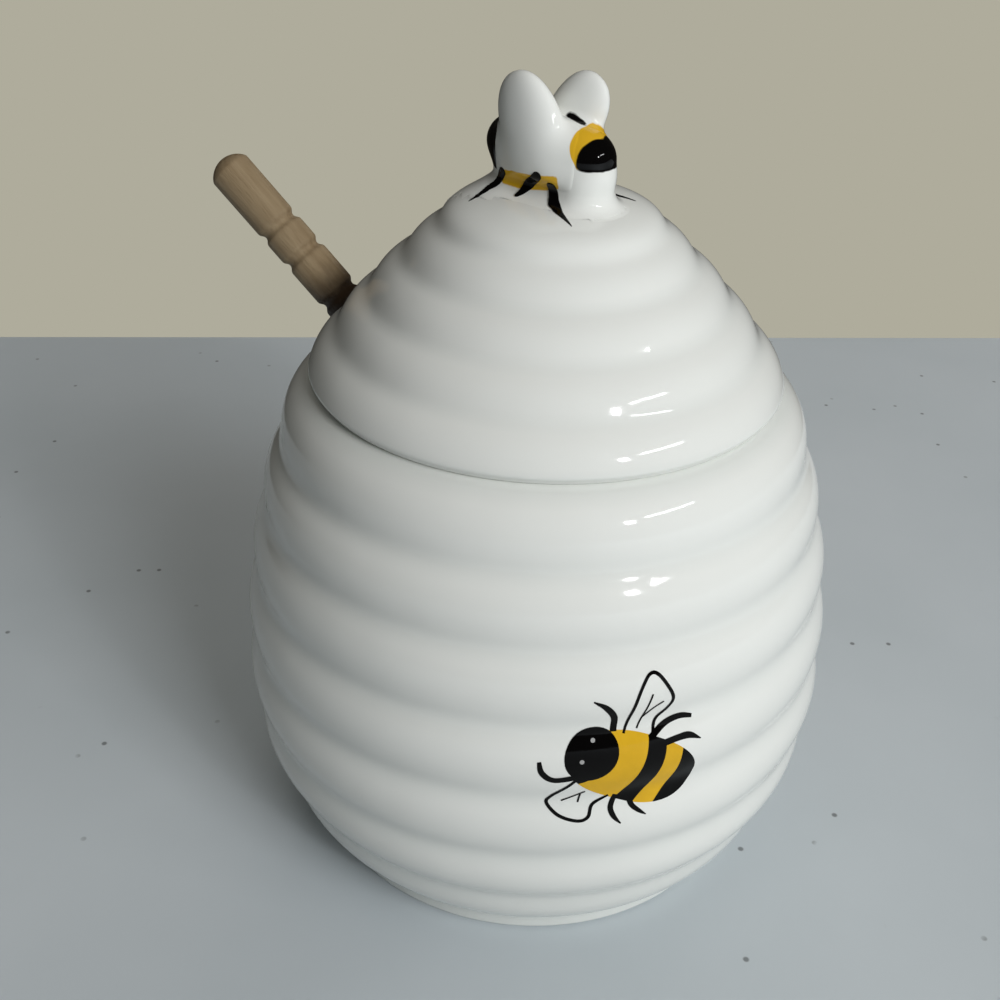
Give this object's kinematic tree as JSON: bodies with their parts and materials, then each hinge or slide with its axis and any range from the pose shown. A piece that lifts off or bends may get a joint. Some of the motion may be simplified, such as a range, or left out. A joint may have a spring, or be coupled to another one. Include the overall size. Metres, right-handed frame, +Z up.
{
  "type": "honey pot with lift-off lid and dipper",
  "caption": "Ridged beehive-shaped ceramic honey pot with a lift-off lid, a bee as its knob, and a wooden dipper leaning out through a notch in the lid.",
  "frame": {"origin": "centre of the foot, on the pot's axis and on the plane it stands on", "axes": "+Z up along the pot's axis, +Y away from the viewer of the picture, +X to the viewer's right"},
  "size_m": [0.1027, 0.1004, 0.1317],
  "materials": {
    "pot_glaze": "glossy white glaze with a painted bee",
    "lid_glaze": "glossy white glaze",
    "bee_glaze": "glossy glaze painted in yellow and black",
    "wing_glaze": "glossy white glaze",
    "beech": "bare turned beech"
  },
  "bodies": {
    "pot": {"pot": "pot_glaze"},
    "lid": {"lid": "lid_glaze", "bee_body": "bee_glaze", "bee_wing_left": "wing_glaze", "bee_wing_right": "wing_glaze"},
    "dipper": {"dipper": "beech"}
  },
  "joints": [
    {"name": "lid_lift", "type": "slide", "parent": "pot", "child": "lid", "axis": [0, 0, 1], "range_m": [0, 0.08]},
    {"name": "dipper_slide", "type": "slide", "parent": "pot", "child": "dipper", "axis": [-0.6791, 0.2141, 0.7022], "range_m": [0, 0.04]}
  ]
}
